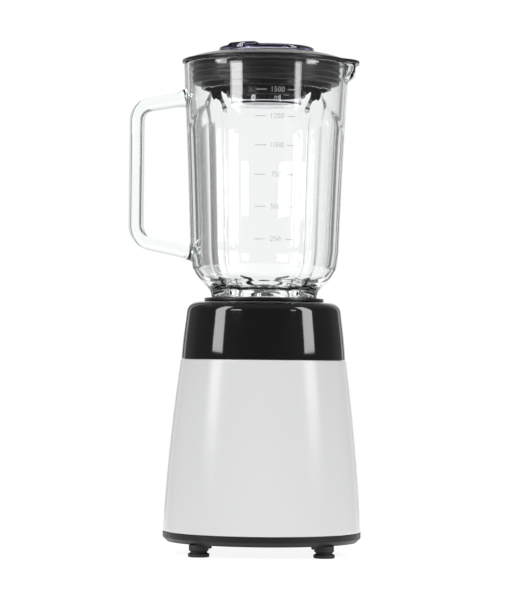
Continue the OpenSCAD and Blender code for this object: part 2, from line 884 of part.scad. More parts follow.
base_shell();
collar();
collar_screws();
bottom_cover();
suction_feet();
cover_screws();
cord_inlet();
cord_clamp();
knob_bezel();
rotary_switch();
switch_bracket();
switch_leads();
field_core();
field_coils();
upper_bracket();
lower_bracket();
upper_bearing();
lower_bearing();
motor_through_bolts();
motor_dampers();
motor_mount_screws();
brush_holders();
carbon_brushes();
brush_springs();
air_duct();
water_seal();
motor_shaft();
armature_core();
armature_windings();
commutator();
cooling_fan();
drive_coupling();
knob();
knob_pointer();
switch_shaft();
glass_jar();
jar_base_ring();
blade_base();
jar_gasket();
shaft_bushing();
shaft_seal();
blade_shaft();
upper_blade();
lower_blade();
blade_spacer();
blade_nut();
driven_coupling();
lid();
lid_seal();
measuring_cup();
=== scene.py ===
import json
import math

import bmesh
import bpy
from mathutils import Matrix, Vector


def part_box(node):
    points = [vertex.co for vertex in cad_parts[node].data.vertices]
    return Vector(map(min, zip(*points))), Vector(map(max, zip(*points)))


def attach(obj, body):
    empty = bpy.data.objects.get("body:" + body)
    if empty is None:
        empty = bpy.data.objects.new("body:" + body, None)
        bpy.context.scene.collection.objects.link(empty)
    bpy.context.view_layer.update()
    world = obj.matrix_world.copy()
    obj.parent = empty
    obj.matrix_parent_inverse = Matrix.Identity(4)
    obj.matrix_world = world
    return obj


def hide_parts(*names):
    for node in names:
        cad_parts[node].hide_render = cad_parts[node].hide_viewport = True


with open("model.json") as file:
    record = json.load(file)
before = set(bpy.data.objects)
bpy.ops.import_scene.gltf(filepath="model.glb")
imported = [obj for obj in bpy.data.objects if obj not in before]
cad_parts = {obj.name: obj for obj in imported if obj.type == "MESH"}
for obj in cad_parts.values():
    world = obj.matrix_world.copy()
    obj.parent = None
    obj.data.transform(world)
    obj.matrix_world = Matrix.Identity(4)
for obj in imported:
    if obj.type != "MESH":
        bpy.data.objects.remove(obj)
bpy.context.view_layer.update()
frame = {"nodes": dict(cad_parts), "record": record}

# Outlines below are (radius, height) points in millimetres; meshes are in metres.
MM = 0.001
TURN = 2 * math.pi


def box_mm(node):
    """Lowest and highest corner of a CAD node, in millimetres."""
    low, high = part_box(node)
    return Vector(low) / MM, Vector(high) / MM


# ---------------------------------------------------------------- camera, light and floor

CAMERA_DISTANCE = 2.31
CAMERA_HEIGHT = 0.1633
CAMERA_SIDE = -0.0012
CAMERA_PITCH = math.radians(1.125)
CAMERA_ROLL = math.radians(0.6)
CAMERA_LENS = 168.0


def make_camera():
    data = bpy.data.cameras.new("camera")
    data.lens = CAMERA_LENS
    data.sensor_width = 36.0
    data.clip_start = 0.1
    data.clip_end = 100.0
    camera = bpy.data.objects.new("camera", data)
    bpy.context.scene.collection.objects.link(camera)
    turned = Matrix.Rotation(math.pi, 4, "Z") @ Matrix.Rotation(math.pi / 2 + CAMERA_PITCH, 4, "X")
    place = Matrix.Translation((CAMERA_SIDE, CAMERA_DISTANCE, CAMERA_HEIGHT))
    camera.matrix_world = place @ turned @ Matrix.Rotation(CAMERA_ROLL, 4, "Z")
    bpy.context.scene.camera = camera


def softbox(name, azimuth, radiance, width, low, high, distance, diffuse=True, gloss=True):
    """An upright strip light at an angle from +Y, turned towards the object. It may light
    surfaces softly, be reflected in them, or both."""
    height = high - low
    data = bpy.data.lights.new(name, "AREA")
    data.shape = "RECTANGLE"
    data.size = width
    data.size_y = height
    data.energy = radiance * math.pi * width * height
    lamp = bpy.data.objects.new(name, data)
    bpy.context.scene.collection.objects.link(lamp)
    angle = math.radians(azimuth)
    place = Vector((math.sin(angle) * distance, math.cos(angle) * distance, (low + high) / 2))
    away = Vector((place.x, place.y, 0)).normalized()
    lamp.matrix_world = Matrix.Translation(place) @ away.to_track_quat("Z", "Y").to_matrix().to_4x4()
    lamp.visible_camera = False
    lamp.visible_diffuse = diffuse
    lamp.visible_glossy = gloss
    lamp.visible_transmission = gloss


def make_lights():
    """Two tall lights that are only reflected, three fills that are not, and two small cards
    that are reflected in the jar in front of the lid's seal."""
    for side, fill in ((1, 6.2), (-1, 7.0)):
        softbox("tall_light", side * 68, 9.5, 1.18, 0.65, 4.6, 4.0, diffuse=False)
        softbox("side_fill", side * 55, fill, 0.74, 0.46, 2.9, 2.5, gloss=False)
    softbox("front_fill", 180, 2.4, 0.74, 0.46, 2.9, 2.5, gloss=False)
    softbox("card_left", 41, 9.0, 0.17, 0.36, 0.43, 0.6)
    softbox("card_right", -43.4, 7.0, 0.085, 0.36, 0.43, 0.6)


# Grey levels of the room, from the side of the machine's back, +Y (0), round to -Y (1). The
# dark strip next to the white background is wider on the handle's side.
ROOM_NEAR = [(0.0, 0.1), (0.12, 0.12), (0.3, 0.2), (0.6, 0.16), (0.7, 0.22), (0.8, 0.2),
             (0.815, 0.9), (0.85, 0.9), (0.86, 0.12), (0.878, 0.12)]
ROOM_HANDLE_SIDE = ROOM_NEAR + [(0.89, 0.34), (0.918, 0.4), (0.932, 1.0), (1.0, 1.0)]
ROOM_SPOUT_SIDE = ROOM_NEAR + [(0.886, 0.7), (0.91, 0.95), (0.932, 1.0), (1.0, 1.0)]
ROOM_OVERHEAD = 0.35
ROOM_STRENGTH = 1.05
DIM_SIDES_END = 0.8
THROUGH_GLASS = 0.8


def make_world():
    """White behind the object, dim beside it, and plain white to the camera itself. Light that
    has only passed straight through glass sees near white on the dim sides too, so that it is
    clear all round."""
    world = bpy.data.worlds.new("studio")
    bpy.context.scene.world = world
    world.use_nodes = True
    nodes, links = world.node_tree.nodes, world.node_tree.links
    nodes.clear()
    direction = nodes.new("ShaderNodeTexCoord")
    parts = nodes.new("ShaderNodeSeparateXYZ")
    links.new(direction.outputs["Generated"], parts.inputs[0])
    azimuth = math_node(nodes, links, "ARCTAN2", parts.outputs["X"], parts.outputs["Y"])
    side = math_node(nodes, links, "ABSOLUTE", azimuth)
    share = math_node(nodes, links, "DIVIDE", side, math.pi)
    sides = []
    for levels in (ROOM_SPOUT_SIDE, ROOM_HANDLE_SIDE):
        side_ramp = ramp(nodes, levels)
        links.new(share, side_ramp.inputs[0])
        sides.append(side_ramp.outputs[0])
    toward_handle = math_node(nodes, links, "GREATER_THAN", parts.outputs["X"], 0.0)
    around = blend_node(nodes, links, toward_handle, *sides)
    overhead = ramp(nodes, [(0.0, 0.0), (0.45, 0.0), (0.8, 1.0), (1.0, 1.0)])
    links.new(parts.outputs["Z"], overhead.inputs[0])
    room = blend_node(nodes, links, overhead.outputs[0], around, ROOM_OVERHEAD)
    path = nodes.new("ShaderNodeLightPath")
    bounced = math_node(nodes, links, "ADD", path.outputs["Diffuse Depth"],
                        path.outputs["Glossy Depth"])
    # A ray that has bounced even once would need more crossings than any ray makes.
    least = math_node(nodes, links, "MULTIPLY_ADD", bounced, 20.0, 1.5)
    crossed = math_node(nodes, links, "GREATER_THAN", path.outputs["Transmission Depth"], least)
    dim_side = math_node(nodes, links, "LESS_THAN", share, DIM_SIDES_END)
    both = math_node(nodes, links, "MULTIPLY", crossed, dim_side)
    lit = nodes.new("ShaderNodeBackground")
    lit.inputs["Strength"].default_value = ROOM_STRENGTH
    links.new(blend_node(nodes, links, both, room, THROUGH_GLASS), lit.inputs["Color"])
    plain = nodes.new("ShaderNodeBackground")
    plain.inputs["Color"].default_value = (1.0, 1.0, 1.0, 1.0)
    mix = nodes.new("ShaderNodeMixShader")
    links.new(path.outputs["Is Camera Ray"], mix.inputs[0])
    links.new(lit.outputs[0], mix.inputs[1])
    links.new(plain.outputs[0], mix.inputs[2])
    out = nodes.new("ShaderNodeOutputWorld")
    links.new(mix.outputs[0], out.inputs["Surface"])


def set_terms(links, inputs, terms):
    """Fills a node's inputs in turn, each with a socket or a plain value."""
    for place, term in zip(inputs, terms):
        if isinstance(term, bpy.types.NodeSocket):
            links.new(term, place)
        else:
            place.default_value = term


def math_node(nodes, links, operation, *terms):
    node = nodes.new("ShaderNodeMath")
    node.operation = operation
    set_terms(links, node.inputs, terms)
    return node.outputs[0]


def blend_node(nodes, links, factor, *colors):
    """Goes from one colour to another, each a socket or a grey level."""
    node = nodes.new("ShaderNodeMixRGB")
    levels = [(c, c, c, 1.0) if isinstance(c, float) else c for c in colors]
    set_terms(links, node.inputs, (factor, *levels))
    return node.outputs[0]


def ramp(nodes, stops):
    """A colour ramp of greys from (place, level) stops."""
    node = nodes.new("ShaderNodeValToRGB")
    band = node.color_ramp
    while len(band.elements) > 1:
        band.elements.remove(band.elements[-1])
    band.elements[0].position = stops[0][0]
    band.elements[0].color = (*[stops[0][1]] * 3, 1.0)
    for place, level in stops[1:]:
        band.elements.new(place).color = (*[level] * 3, 1.0)
    return node


def make_floor():
    """A wide pale disc with a soft glow of its own, as a lit studio table has."""
    mesh = bpy.data.meshes.new("floor")
    shape = bmesh.new()
    bmesh.ops.create_circle(shape, cap_ends=True, segments=96, radius=0.8)
    shape.to_mesh(mesh)
    shape.free()
    floor = bpy.data.objects.new("floor", mesh)
    bpy.context.scene.collection.objects.link(floor)
    material, nodes, links, shader = new_material("studio_floor")
    shader.inputs["Base Color"].default_value = (0.3, 0.3, 0.3, 1.0)
    shader.inputs["Roughness"].default_value = 0.9
    shader.inputs["Specular IOR Level"].default_value = 0.0
    shader.inputs["Emission Color"].default_value = (1.0, 1.0, 1.0, 1.0)
    shader.inputs["Emission Strength"].default_value = 0.9
    mesh.materials.append(material)


# ---------------------------------------------------------------- materials

def new_material(name):
    material = bpy.data.materials.new(name)
    material.use_nodes = True
    nodes, links = material.node_tree.nodes, material.node_tree.links
    return material, nodes, links, nodes["Principled BSDF"]


def place_texture(nodes, links, stretch=(1, 1, 1)):
    """Object coordinates, in metres, stretched along each axis."""
    where = nodes.new("ShaderNodeTexCoord")
    mapping = nodes.new("ShaderNodeMapping")
    mapping.inputs["Scale"].default_value = stretch
    links.new(where.outputs["Object"], mapping.inputs["Vector"])
    return mapping.outputs["Vector"]


def noise(nodes, links, vector, scale, detail=3.0):
    texture = nodes.new("ShaderNodeTexNoise")
    texture.inputs["Scale"].default_value = scale
    texture.inputs["Detail"].default_value = detail
    links.new(vector, texture.inputs["Vector"])
    return texture.outputs["Fac"]


def spread(nodes, links, factor, low, high):
    """Maps a factor around one half to a range of values."""
    change = nodes.new("ShaderNodeMapRange")
    change.inputs["From Min"].default_value = 0.3
    change.inputs["From Max"].default_value = 0.7
    change.inputs["To Min"].default_value = low
    change.inputs["To Max"].default_value = high
    links.new(factor, change.inputs["Value"])
    return change.outputs["Result"]


def tint(nodes, links, factor, shader, color, share):
    """Varies the base colour a little darker and lighter."""
    blend = ramp(nodes, [(0.3, 0.0), (0.7, 1.0)])
    blend.color_ramp.elements[0].color = (*[c * (1 - share) for c in color], 1.0)
    blend.color_ramp.elements[1].color = (*[min(1.0, c * (1 + share)) for c in color], 1.0)
    links.new(factor, blend.inputs[0])
    links.new(blend.outputs[0], shader.inputs["Base Color"])


def bump(nodes, links, height, shader, strength, depth):
    node = nodes.new("ShaderNodeBump")
    node.inputs["Strength"].default_value = strength
    node.inputs["Distance"].default_value = depth
    links.new(height, node.inputs["Height"])
    links.new(node.outputs[0], shader.inputs["Normal"])


def moulded(name, color, rough, grain=900.0, depth=0.00002, coat=0.0, mottle=0.03,
            gloss=0.5):
    """Moulded plastic or rubber: slight colour and gloss variation over a fine grain."""
    material, nodes, links, shader = new_material(name)
    vector = place_texture(nodes, links)
    tint(nodes, links, noise(nodes, links, vector, 30.0), shader, color, mottle)
    links.new(spread(nodes, links, noise(nodes, links, vector, 140.0), rough * 0.85, rough * 1.15),
              shader.inputs["Roughness"])
    bump(nodes, links, noise(nodes, links, vector, grain, 2.0), shader, 0.35, depth)
    shader.inputs["Coat Weight"].default_value = coat
    shader.inputs["Coat Roughness"].default_value = 0.06
    shader.inputs["Specular IOR Level"].default_value = gloss
    return material


def metal(name, color, rough, stretch):
    """Bare metal with fine streaks along the directions that stretch leaves short."""
    material, nodes, links, shader = new_material(name)
    streaks = noise(nodes, links, place_texture(nodes, links, stretch), 1.0, 4.0)
    patches = noise(nodes, links, place_texture(nodes, links), 90.0)
    shader.inputs["Metallic"].default_value = 1.0
    tint(nodes, links, patches, shader, color, 0.06)
    links.new(spread(nodes, links, streaks, rough * 0.7, rough * 1.3), shader.inputs["Roughness"])
    bump(nodes, links, streaks, shader, 0.3, 0.00001)
    return material


def banded(name, color, rough, pitch):
    """Stacked sheets or wound wire: even bands of one pitch up the Z axis."""
    material, nodes, links, shader = new_material(name)
    vector = place_texture(nodes, links)
    wave = nodes.new("ShaderNodeTexWave")
    wave.bands_direction = "Z"
    wave.inputs["Scale"].default_value = 1.0 / pitch / TURN * math.pi
    wave.inputs["Distortion"].default_value = 0.6
    links.new(vector, wave.inputs["Vector"])
    tint(nodes, links, wave.outputs["Fac"], shader, color, 0.25)
    links.new(spread(nodes, links, noise(nodes, links, vector, 200.0), rough * 0.8, rough * 1.2),
              shader.inputs["Roughness"])
    shader.inputs["Metallic"].default_value = 1.0
    bump(nodes, links, wave.outputs["Fac"], shader, 0.5, 0.0001)
    return material


def clear(name, color, ior, depth_color, density):
    """Clear glass or plastic with a faint waviness, tinted by its thickness."""
    material, nodes, links, shader = new_material(name)
    vector = place_texture(nodes, links, (1, 1, 0.35))
    bump(nodes, links, noise(nodes, links, vector, 55.0, 1.0), shader, 0.25, 0.00004)
    smear = noise(nodes, links, vector, 160.0)
    links.new(spread(nodes, links, smear, 0.0, 0.012), shader.inputs["Roughness"])
    shader.inputs["Base Color"].default_value = (*color, 1.0)
    shader.inputs["Transmission Weight"].default_value = 1.0
    shader.inputs["IOR"].default_value = ior
    absorb = nodes.new("ShaderNodeVolumeAbsorption")
    absorb.inputs["Color"].default_value = (*depth_color, 1.0)
    absorb.inputs["Density"].default_value = density
    links.new(absorb.outputs[0], nodes["Material Output"].inputs["Volume"])
    return material


def frosted(name, color, rough):
    """Raised lettering in the glass: clear, but a little rougher than the wall."""
    material, nodes, links, shader = new_material(name)
    grain = noise(nodes, links, place_texture(nodes, links), 1500.0)
    links.new(spread(nodes, links, grain, rough * 0.8, rough * 1.2), shader.inputs["Roughness"])
    shader.inputs["Base Color"].default_value = (*color, 1.0)
    shader.inputs["Transmission Weight"].default_value = 0.75
    shader.inputs["IOR"].default_value = 1.5
    return material


MATERIALS = {
    "white_shell": moulded("white_shell", (0.729, 0.733, 0.733), 0.2, 500.0, 0.000004,
                           mottle=0.004, gloss=0.26),
    "black_gloss": moulded("black_gloss", (0.006, 0.0062, 0.0066), 0.07, 300.0, 0.000002,
                           mottle=0.1),
    "black_matte": moulded("black_matte", (0.009, 0.009, 0.0095), 0.36, 1800.0, 0.00005, gloss=0.3),
    "rubber_feet": moulded("rubber_feet", (0.012, 0.012, 0.0125), 0.62, 1300.0, 0.00006,
                           mottle=0.15),
    "black_rubber": moulded("black_rubber", (0.018, 0.018, 0.018), 0.6, 1300.0, 0.00006),
    "grey_plastic": moulded("grey_plastic", (0.22, 0.22, 0.23), 0.45, 1500.0, 0.00004),
    "bezel": moulded("bezel", (0.42, 0.43, 0.44), 0.3, 1200.0, 0.00002, 0.3),
    "switch_body": moulded("switch_body", (0.05, 0.07, 0.09), 0.4, 1500.0, 0.00004),
    "wire": moulded("wire", (0.4, 0.02, 0.02), 0.4, 900.0, 0.00003),
    "carbon": moulded("carbon", (0.025, 0.025, 0.026), 0.5, 2200.0, 0.00005, mottle=0.3),
    "fan_plastic": moulded("fan_plastic", (0.62, 0.62, 0.58), 0.45, 1500.0, 0.00003),
    "coupling_rubber": moulded("coupling_rubber", (0.03, 0.03, 0.032), 0.5, 1200.0, 0.00005),
    "knob_plastic": moulded("knob_plastic", (0.012, 0.012, 0.013), 0.25, 1100.0, 0.00003, 0.4),
    "pointer_white": moulded("pointer_white", (0.8, 0.8, 0.8), 0.3),
    "ring_plastic": moulded("ring_plastic", (0.012, 0.012, 0.013), 0.3, 1400.0, 0.00003),
    "lid_plastic": moulded("lid_plastic", (0.011, 0.0112, 0.012), 0.26, 700.0, 0.00002, gloss=0.35),
    "seal_rubber": moulded("seal_rubber", (0.022, 0.0225, 0.024), 0.4, 900.0, 0.00003, mottle=0.1),
    "clear_silicone": moulded("clear_silicone", (0.5, 0.5, 0.48), 0.4, 900.0, 0.00003),
    "zinc": metal("zinc", (0.55, 0.55, 0.53), 0.32, (300, 300, 300)),
    "bracket_steel": metal("bracket_steel", (0.52, 0.53, 0.54), 0.35, (90, 1400, 90)),
    "bearing_bronze": metal("bearing_bronze", (0.55, 0.36, 0.16), 0.4, (700, 700, 700)),
    "brass_parts": metal("brass_parts", (0.68, 0.48, 0.18), 0.3, (90, 900, 900)),
    "spring_steel": metal("spring_steel", (0.5, 0.5, 0.5), 0.3, (500, 500, 500)),
    "shaft_steel": metal("shaft_steel", (0.6, 0.6, 0.6), 0.2, (60, 60, 2400)),
    "commutator_copper": metal("commutator_copper", (0.7, 0.33, 0.17), 0.28, (60, 60, 2400)),
    "blade_base_metal": metal("blade_base_metal", (0.64, 0.64, 0.64), 0.24, (60, 60, 2600)),
    "blade_steel": metal("blade_steel", (0.5, 0.5, 0.5), 0.24, (1500, 120, 120)),
    "stack_steel": banded("stack_steel", (0.28, 0.29, 0.31), 0.42, 0.0005),
    "copper_wire": banded("copper_wire", (0.55, 0.2, 0.08), 0.34, 0.0007),
    "jar_glass": clear("jar_glass", (0.995, 0.998, 0.996), 1.5, (0.6, 0.86, 0.74), 8.0),
    "glass_marks": frosted("glass_marks", (0.8, 0.84, 0.82), 0.28),
    "clear_cup": clear("clear_cup", (0.985, 0.985, 0.99), 1.49, (0.3, 0.22, 0.66), 42.0),
}


# ---------------------------------------------------------------- outlines

def bulge(a, b, height, count):
    """Points of an arc from a to b that bulges by height to the right of its direction."""
    a, b = Vector(a[:2]), Vector(b[:2])
    run = b - a
    half = run.length / 2
    radius = (half * half + height * height) / (2 * height)
    along = run.normalized()
    side = Vector((along.y, -along.x))
    centre = (a + b) / 2 - side * (radius - height)
    sweep = math.asin(half / radius)
    angles = [-sweep + 2 * sweep * i / count for i in range(count + 1)]
    return [centre + radius * (side * math.cos(t) + along * math.sin(t)) for t in angles]


def corner(before, at, after, radius, count=6):
    """Points of the arc that rounds the corner `at` to a radius."""
    p, q, s = Vector(before[:2]), Vector(at[:2]), Vector(after[:2])
    u, v = (p - q).normalized(), (s - q).normalized()
    half = math.acos(max(-1.0, min(1.0, u.dot(v)))) / 2
    centre = q + (u + v).normalized() * radius / math.sin(half)
    start = q + u * radius / math.tan(half) - centre
    end = q + v * radius / math.tan(half) - centre
    first = math.atan2(start.y, start.x)
    sweep = (math.atan2(end.y, end.x) - first + 3 * math.pi) % TURN - math.pi
    angles = [first + sweep * i / count for i in range(count + 1)]
    return [centre + radius * Vector((math.cos(t), math.sin(t))) for t in angles]


def rounded(points, count=6, closed=True):
    """An outline from (x, y) and (x, y, radius) points, with the latter rounded."""
    made = []
    total = len(points)
    for i, point in enumerate(points):
        inner = closed or 0 < i < total - 1
        if len(point) == 3 and inner:
            made += corner(points[i - 1], point, points[(i + 1) % total], point[2], count)
        else:
            made.append(Vector(point[:2]))
    return made


def divided(points, step):
    """The same line with no two points further apart than step."""
    made = [Vector(points[0])]
    for a, b in zip(points, points[1:]):
        a, b = Vector(a[:2]), Vector(b[:2])
        count = max(1, math.ceil((b - a).length / step))
        made += [a.lerp(b, i / count) for i in range(1, count + 1)]
    return made


def smoothstep(low, high, value):
    t = max(0.0, min(1.0, (value - low) / (high - low)))
    return t * t * (3 - 2 * t)


# ---------------------------------------------------------------- meshes

def finished(name, mesh, material, body, stands_for=(), slot=None, sharp=38):
    """Links a mesh as a piece, shades it, and puts it on its CAD body."""
    piece = bpy.data.objects.new(name, mesh)
    bpy.context.scene.collection.objects.link(piece)
    mesh.materials.clear()
    mesh.materials.append(MATERIALS[material])
    mesh.shade_smooth()
    mesh.set_sharp_from_angle(angle=math.radians(sharp))
    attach(piece, body)
    if stands_for:
        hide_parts(*stands_for)
    return piece


def mesh_from(shape, name):
    """A mesh from a bmesh in millimetres, with its faces turned outwards."""
    bmesh.ops.remove_doubles(shape, verts=shape.verts, dist=0.0005)
    bmesh.ops.recalc_face_normals(shape, faces=shape.faces)
    bmesh.ops.scale(shape, vec=(MM, MM, MM), verts=shape.verts)
    mesh = bpy.data.meshes.new(name)
    shape.to_mesh(mesh)
    shape.free()
    return mesh


def add_lathe(shape, outline, steps=160, move=None):
    """Turns an outline about Z. An end on the axis becomes a pole, and any other outline is
    a closed ring. move(r, z, angle, index) may return another (r, z)."""
    rings = []
    for index, (r, z) in enumerate(outline):
        if r < 1e-6:
            rings.append([shape.verts.new((0, 0, z))])
            continue
        ring = []
        for k in range(steps):
            angle = TURN * k / steps
            rr, zz = move(r, z, angle, index) if move else (r, z)
            ring.append(shape.verts.new((rr * math.cos(angle), rr * math.sin(angle), zz)))
        rings.append(ring)
    open_ended = len(rings[0]) == 1 and len(rings[-1]) == 1
    pairs = list(zip(rings, rings[1:])) + ([] if open_ended else [(rings[-1], rings[0])])
    for a, b in pairs:
        for k in range(steps):
            n = (k + 1) % steps
            quad = [a[k % len(a)], a[n % len(a)], b[n % len(b)], b[k % len(b)]]
            shape.faces.new(dict.fromkeys(quad))


def lathe(name, outline, material, body, stands_for=(), steps=160, move=None, **more):
    shape = bmesh.new()
    add_lathe(shape, outline, steps, move)
    return finished(name, mesh_from(shape, name), material, body, stands_for, **more)


def add_prism(shape, outline, low, high, place=None, edge=0.0):
    """An outline in the XY plane raised from low to high, with its rims chamfered by edge."""
    centre = sum((Vector(p) for p in outline), Vector((0, 0))) / len(outline)

    def layer(z, inset):
        points = []
        for p in outline:
            away = Vector(p) - centre
            moved = Vector(p) - away.normalized() * inset
            point = Vector((moved.x, moved.y, z))
            points.append(shape.verts.new(place @ point if place else point))
        return points

    layers = [layer(low, edge), layer(low + edge, 0), layer(high - edge, 0), layer(high, edge)]
    if edge == 0:
        layers = [layers[0], layers[3]]
    total = len(outline)
    shape.faces.new(reversed(layers[0]))
    shape.faces.new(layers[-1])
    for a, b in zip(layers, layers[1:]):
        for k in range(total):
            n = (k + 1) % total
            shape.faces.new((a[k], a[n], b[n], b[k]))


def circle(radius, count=48, centre=(0, 0)):
    angles = [TURN * k / count for k in range(count)]
    return [(centre[0] + radius * math.cos(t), centre[1] + radius * math.sin(t)) for t in angles]


def combine(piece, other, operation):
    """Joins or cuts a piece with another object, which is then removed."""
    change = piece.modifiers.new("combine", "BOOLEAN")
    change.operation = operation
    change.solver = "EXACT"
    change.object = other
    view = bpy.context.evaluated_depsgraph_get()
    mesh = bpy.data.meshes.new_from_object(piece.evaluated_get(view))
    piece.modifiers.remove(change)
    old = piece.data
    piece.data = mesh
    bpy.data.meshes.remove(old)
    bpy.data.objects.remove(other)


def loose(name, shape):
    """An object from a bmesh that is used only to combine with another."""
    other = bpy.data.objects.new(name, mesh_from(shape, name))
    bpy.context.scene.collection.objects.link(other)
    return other


# ---------------------------------------------------------------- base

SHELL_HIGH = box_mm("base_shell")[1]
COLLAR_LOW, COLLAR_HIGH = box_mm("collar")
KNOB_LOW, KNOB_HIGH = box_mm("knob")
BODY_R = SHELL_HIGH.x
SEAM_Z = SHELL_HIGH.z
SHELL_FOOT_Z = box_mm("bottom_cover")[1].z - 4.0
SHELL_TOP_R = 68.1
SHELL_WALL = 2.6
SHELL_BULGE = 1.4
KNOB_Z = (KNOB_LOW.z + KNOB_HIGH.z) / 2
KNOB_HOLE_R = 18.0
SEAT_R = 46.5
SEAT_Z = 180.0
FOOT_R = 8.75


def shell_line(count):
    return bulge((BODY_R, SHELL_FOOT_Z), (SHELL_TOP_R, SEAM_Z), SHELL_BULGE, count)


def shell_radius(z):
    """The white shell's outer radius at a height."""
    line = shell_line(24)
    for a, b in zip(line, line[1:]):
        if a.y <= z <= b.y:
            return a.x + (b.x - a.x) * (z - a.y) / (b.y - a.y)
    return BODY_R if z < SHELL_FOOT_Z else SHELL_TOP_R


def toward_front(height):
    """A frame at a height on the machine's axis, whose Z runs along -Y."""
    return Matrix.Translation((0, 0, height)) @ Matrix.Rotation(math.pi / 2, 4, "X")


def make_shell():
    outer = shell_line(60)
    inner = [p - Vector((SHELL_WALL, 0)) for p in reversed(outer)]
    rims = corner(outer[-2], outer[-1], inner[0], 0.7, 4)
    foot = corner(inner[-1], outer[0], outer[1], 0.6, 4)
    piece = lathe("white_shell", outer[1:-1] + rims + inner + foot, "white_shell", "base",
                  ("base_shell",), 224)
    hole = bmesh.new()
    add_prism(hole, circle(KNOB_HOLE_R, 64), 60, 100, toward_front(KNOB_Z))
    combine(piece, loose("knob_hole", hole), "DIFFERENCE")
    posts = bmesh.new()
    for k in range(4):
        turned = Matrix.Rotation(k * math.pi / 2, 4, "Z")
        add_prism(posts, circle(4.4, 32, (66, 0)), 13.4, 44, turned, 0.3)
        rib = [(69.5, -1.2), (76.4, -1.2), (76.4, 1.2), (69.5, 1.2)]
        add_prism(posts, rib, 25, 44, turned, 0.2)
    finished("shell_bosses", mesh_from(posts, "shell_bosses"), "white_shell", "base")


def make_collar():
    skirt_r = SHELL_TOP_R - SHELL_WALL - 0.5
    shoulder = (62.7, COLLAR_HIGH.z)
    wall_foot = (SHELL_TOP_R - 0.6, SEAM_Z + 0.35)
    side_top = (64.0, 194.0)
    outline = [Vector((skirt_r - 2.5, COLLAR_LOW.z)), Vector((skirt_r, COLLAR_LOW.z)),
               Vector((skirt_r, wall_foot[1]))]
    outline += corner((skirt_r, wall_foot[1]), wall_foot, side_top, 0.25, 3)
    outline += bulge((wall_foot[0], wall_foot[1] + 1), side_top, 0.35, 14)[1:-1]
    outline += corner(side_top, shoulder, (50, shoulder[1]), 8.5, 14)
    outline += corner((56, shoulder[1]), (SEAT_R, shoulder[1]), (SEAT_R, 190), 2.0, 8)
    outline += rounded([(SEAT_R, 200), (SEAT_R, SEAT_Z, 1.2), (22, SEAT_Z), (20.5, SEAT_Z),
                        (20.5, SEAT_Z + 4, 0.6), (18.5, SEAT_Z + 4, 0.6), (18.5, SEAT_Z),
                        (9, SEAT_Z), (9, SEAT_Z - 3), (49.1, SEAT_Z - 3), (49.1, 198),
                        (57, 200, 4), (60.2, 194, 4), (skirt_r - 2.5, SEAM_Z)], 4, False)
    lathe("black_collar", outline, "black_gloss", "base", ("collar",), 224)
    keys = bmesh.new()
    for k in range(4):
        turned = Matrix.Rotation(math.pi / 4 + k * math.pi / 2, 4, "Z")
        key = [(SEAT_R - 3.5, -4), (SEAT_R + 0.6, -4), (SEAT_R + 0.6, 4), (SEAT_R - 3.5, 4)]
        add_prism(keys, key, SEAT_Z - 0.5, SEAT_Z + 8, turned, 0.5)
    finished("seat_keys", mesh_from(keys, "seat_keys"), "black_gloss", "base")


def make_feet():
    """Four feet: a hollow sucker, a groove, and a stud that snaps into the bottom cover."""
    high = box_mm("suction_feet")[1]
    reach = high.x - FOOT_R
    outline = rounded([(0, 1.2), (6.2, 0.05), (8.2, 0.05, 0.35), (8.7, 0.8, 0.5), (8.7, 2.9, 0.5),
                       (6.8, 3.7, 0.4), (6.8, 4.6, 0.5), (8.0, 5.4, 0.4), (8.0, 9.9, 0.3),
                       (4.1, 9.9), (4.1, 13.1), (4.8, 13.1), (4.2, high.z - 0.1, 0.6),
                       (0, high.z)], 5, False)
    for number, (x, y) in enumerate([(-1, -1), (1, -1), (1, 1), (-1, 1)], 1):
        shape = bmesh.new()
        add_lathe(shape, outline, 64)
        bmesh.ops.translate(shape, vec=(x * reach, y * reach, 0), verts=shape.verts)
        name = f"suction_foot_{number}"
        finished(name, mesh_from(shape, name), "rubber_feet", "base", ("suction_feet",))


# ---------------------------------------------------------------- knob

DIAL_MARKS = {"0": 0, "1": 45, "2": 90, "P": -45}
DIAL_R = 22.0
BEZEL_FACE = 80.7
KNOB_BACK = 81.2
GRIP_DROP = 0.25


def flat_text(words, height, thickness, name):
    """A bmesh of raised lettering in the XY plane, centred, in millimetres."""
    curve = bpy.data.curves.new(name, "FONT")
    curve.body = words
    curve.size = height / 0.69
    curve.extrude = thickness / 2
    curve.align_x = "CENTER"
    curve.align_y = "CENTER"
    curve.resolution_u = 3
    writing = bpy.data.objects.new(name, curve)
    bpy.context.scene.collection.objects.link(writing)
    view = bpy.context.evaluated_depsgraph_get()
    mesh = bpy.data.meshes.new_from_object(writing.evaluated_get(view))
    shape = bmesh.new()
    shape.from_mesh(mesh)
    bpy.data.objects.remove(writing)
    bpy.data.curves.remove(curve)
    bpy.data.meshes.remove(mesh)
    return shape


def merge(shape, other):
    """Adds one bmesh to another."""
    mesh = bpy.data.meshes.new("merge")
    other.to_mesh(mesh)
    other.free()
    shape.from_mesh(mesh)
    bpy.data.meshes.remove(mesh)


